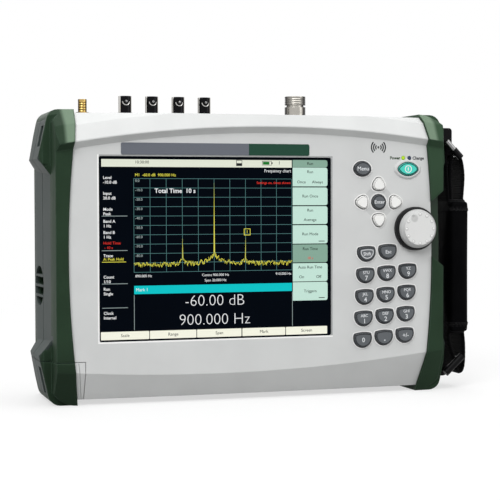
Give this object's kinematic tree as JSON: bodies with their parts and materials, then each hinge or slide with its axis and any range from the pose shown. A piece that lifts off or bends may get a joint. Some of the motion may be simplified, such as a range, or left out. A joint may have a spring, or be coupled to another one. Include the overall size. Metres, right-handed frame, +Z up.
{
  "type": "handheld spectrum analyzer",
  "caption": "Handheld spectrum analyzer with bowed panel, rubber bumper ends, key field, tuning knob, top connectors, battery door, tilt stand and padded hand strap.",
  "frame": {"origin": "on the surface it stands on, below the middle of the case", "axes": "+X to the right seen from the front, +Y to the back, +Z up"},
  "size_m": [0.334, 0.0991, 0.2249],
  "materials": {
    "panel_grey": "fine satin texture",
    "top_plate": "satin",
    "back_grey": "fine satin texture",
    "bumper_green": "soft matte moulding",
    "strip_slate": "matte",
    "screen_glass": "smooth",
    "display_frame": "stamped metal",
    "board_green": "solder mask",
    "key_dark": "soft touch",
    "key_white": "satin",
    "key_teal": "satin",
    "lamp": "moulded light pipes",
    "knob_light": "satin",
    "knob_dark": "matte grip",
    "steel": "plain",
    "nickel": "bright plating",
    "shield": "milled",
    "fan_black": "moulded",
    "battery_grey": "moulded pack",
    "gold": "gold plating",
    "bnc_black": "black nickel",
    "socket_dark": "moulded",
    "stand_slate": "matte",
    "strap_plastic": "moulded",
    "webbing": "woven tape",
    "pad_fabric": "knitted cover over foam"
  },
  "bodies": {
    "case": {"front_cover": "panel_grey", "rear_cover": "back_grey", "connector_panel": "top_plate", "socket_plate": "top_plate", "left_bumper": "bumper_green", "right_bumper": "bumper_green", "left_strip": "strip_slate", "right_strip": "strip_slate", "display_window": "screen_glass", "display_module": "display_frame", "keypad_board": "board_green", "status_lamps": "lamp", "encoder": "steel", "main_board": "board_green", "rf_module": "shield", "fan_frame": "fan_black", "battery_pack": "battery_grey", "battery_contacts": "gold", "speaker": "fan_black", "n_connector": "nickel", "sma_connector": "gold", "bnc_connectors": "bnc_black", "io_sockets": "socket_dark", "stand_ears": "back_grey", "bail_pins": "steel", "strap_lugs": "strap_plastic", "case_screws": "steel"},
    "key_0": {"key_0": "key_dark"},
    "key_1": {"key_1": "key_dark"},
    "key_2": {"key_2": "key_dark"},
    "key_3": {"key_3": "key_dark"},
    "key_4": {"key_4": "key_dark"},
    "key_5": {"key_5": "key_dark"},
    "key_6": {"key_6": "key_dark"},
    "key_7": {"key_7": "key_dark"},
    "key_8": {"key_8": "key_dark"},
    "key_9": {"key_9": "key_dark"},
    "key_point": {"key_point": "key_dark"},
    "key_sign": {"key_sign": "key_dark"},
    "key_shift": {"key_shift": "key_dark"},
    "key_escape": {"key_escape": "key_dark"},
    "key_menu": {"key_menu": "key_dark"},
    "key_power": {"key_power": "key_teal"},
    "key_enter": {"key_enter": "key_dark"},
    "key_up": {"key_up": "key_white"},
    "key_down": {"key_down": "key_white"},
    "key_left": {"key_left": "key_white"},
    "key_right": {"key_right": "key_white"},
    "knob": {"knob_cap": "knob_light", "knob_skirt": "knob_dark", "knob_shaft": "steel"},
    "fan": {"fan_rotor": "fan_black"},
    "battery_door": {"door_frame": "panel_grey", "door_bumper": "bumper_green", "door_strip": "strip_slate"},
    "stand": {"tilt_bail": "stand_slate"},
    "hand_strap": {"strap_ring": "nickel", "strap_buckle": "strap_plastic", "strap_webbing": "webbing", "strap_pad": "pad_fabric"}
  },
  "joints": [
    {"name": "key_0_press", "type": "slide", "parent": "case", "child": "key_0", "axis": [0, 1, 0], "range_m": [0, 0.001], "stiffness_N_per_m": 400},
    {"name": "key_1_press", "type": "slide", "parent": "case", "child": "key_1", "axis": [0, 1, 0], "range_m": [0, 0.001], "stiffness_N_per_m": 400},
    {"name": "key_2_press", "type": "slide", "parent": "case", "child": "key_2", "axis": [0, 1, 0], "range_m": [0, 0.001], "stiffness_N_per_m": 400},
    {"name": "key_3_press", "type": "slide", "parent": "case", "child": "key_3", "axis": [0, 1, 0], "range_m": [0, 0.001], "stiffness_N_per_m": 400},
    {"name": "key_4_press", "type": "slide", "parent": "case", "child": "key_4", "axis": [0, 1, 0], "range_m": [0, 0.001], "stiffness_N_per_m": 400},
    {"name": "key_5_press", "type": "slide", "parent": "case", "child": "key_5", "axis": [0, 1, 0], "range_m": [0, 0.001], "stiffness_N_per_m": 400},
    {"name": "key_6_press", "type": "slide", "parent": "case", "child": "key_6", "axis": [0, 1, 0], "range_m": [0, 0.001], "stiffness_N_per_m": 400},
    {"name": "key_7_press", "type": "slide", "parent": "case", "child": "key_7", "axis": [0, 1, 0], "range_m": [0, 0.001], "stiffness_N_per_m": 400},
    {"name": "key_8_press", "type": "slide", "parent": "case", "child": "key_8", "axis": [0, 1, 0], "range_m": [0, 0.001], "stiffness_N_per_m": 400},
    {"name": "key_9_press", "type": "slide", "parent": "case", "child": "key_9", "axis": [0, 1, 0], "range_m": [0, 0.001], "stiffness_N_per_m": 400},
    {"name": "key_point_press", "type": "slide", "parent": "case", "child": "key_point", "axis": [0, 1, 0], "range_m": [0, 0.001], "stiffness_N_per_m": 400},
    {"name": "key_sign_press", "type": "slide", "parent": "case", "child": "key_sign", "axis": [0, 1, 0], "range_m": [0, 0.001], "stiffness_N_per_m": 400},
    {"name": "key_shift_press", "type": "slide", "parent": "case", "child": "key_shift", "axis": [0, 1, 0], "range_m": [0, 0.001], "stiffness_N_per_m": 400},
    {"name": "key_escape_press", "type": "slide", "parent": "case", "child": "key_escape", "axis": [0, 1, 0], "range_m": [0, 0.001], "stiffness_N_per_m": 400},
    {"name": "key_menu_press", "type": "slide", "parent": "case", "child": "key_menu", "axis": [0, 1, 0], "range_m": [0, 0.001], "stiffness_N_per_m": 400},
    {"name": "key_power_press", "type": "slide", "parent": "case", "child": "key_power", "axis": [0, 1, 0], "range_m": [0, 0.001], "stiffness_N_per_m": 400},
    {"name": "key_enter_press", "type": "slide", "parent": "case", "child": "key_enter", "axis": [0, 1, 0], "range_m": [0, 0.001], "stiffness_N_per_m": 400},
    {"name": "key_up_press", "type": "slide", "parent": "case", "child": "key_up", "axis": [0, 1, 0], "range_m": [0, 0.001], "stiffness_N_per_m": 400},
    {"name": "key_down_press", "type": "slide", "parent": "case", "child": "key_down", "axis": [0, 1, 0], "range_m": [0, 0.001], "stiffness_N_per_m": 400},
    {"name": "key_left_press", "type": "slide", "parent": "case", "child": "key_left", "axis": [0, 1, 0], "range_m": [0, 0.001], "stiffness_N_per_m": 400},
    {"name": "key_right_press", "type": "slide", "parent": "case", "child": "key_right", "axis": [0, 1, 0], "range_m": [0, 0.001], "stiffness_N_per_m": 400},
    {"name": "knob_turn", "type": "hinge", "parent": "case", "child": "knob", "pos_m": [0.1243, -0.04, 0.12449], "axis": [0, 1, 0], "continuous": true},
    {"name": "fan_spin", "type": "hinge", "parent": "case", "child": "fan", "pos_m": [-0.1366, 0.013, 0.084], "axis": [1, 0, 0], "continuous": true},
    {"name": "door_slide", "type": "slide", "parent": "case", "child": "battery_door", "axis": [-1, 0, 0], "range_m": [0, 0.025]},
    {"name": "stand_fold", "type": "hinge", "parent": "case", "child": "stand", "pos_m": [0, 0.0439, 0.15002], "axis": [1, 0, 0], "range_deg": [0, 40]},
    {"name": "strap_swing", "type": "hinge", "parent": "case", "child": "hand_strap", "pos_m": [0.1594, -0.007, 0.1], "axis": [0, 0, 1], "range_deg": [-2.5, 2.5]}
  ]
}
